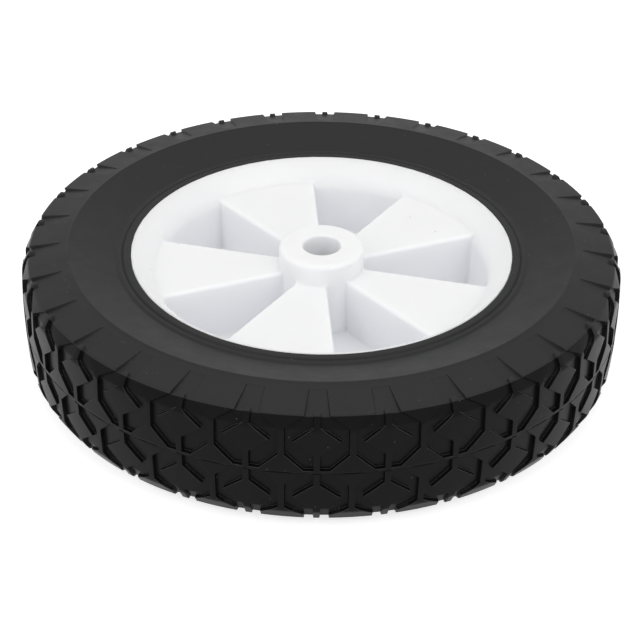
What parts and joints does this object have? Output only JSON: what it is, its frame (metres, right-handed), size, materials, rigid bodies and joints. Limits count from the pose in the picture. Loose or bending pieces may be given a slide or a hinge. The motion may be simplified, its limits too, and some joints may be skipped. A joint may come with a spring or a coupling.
{
  "type": "cart wheel",
  "caption": "Small garden cart wheel: a moulded rubber tyre with a diamond tread on a one-piece white plastic wheel centre with raised wedge spokes and a plain hub bore.",
  "frame": {"origin": "centre of the wheel: on the axle axis, half way between the two crests of the tyre's sidewalls", "axes": "+Z along the axle axis, out of the side that the picture shows; +X to the right in the picture"},
  "size_m": [0.2032, 0.2032, 0.0434],
  "materials": {
    "tyre": "matt moulded rubber, dark grey, with a little dust",
    "wheel_centre": "satin, slightly milky natural white plastic"
  },
  "bodies": {
    "root": {"tyre": "tyre", "wheel_centre": "wheel_centre"}
  },
  "joints": []
}
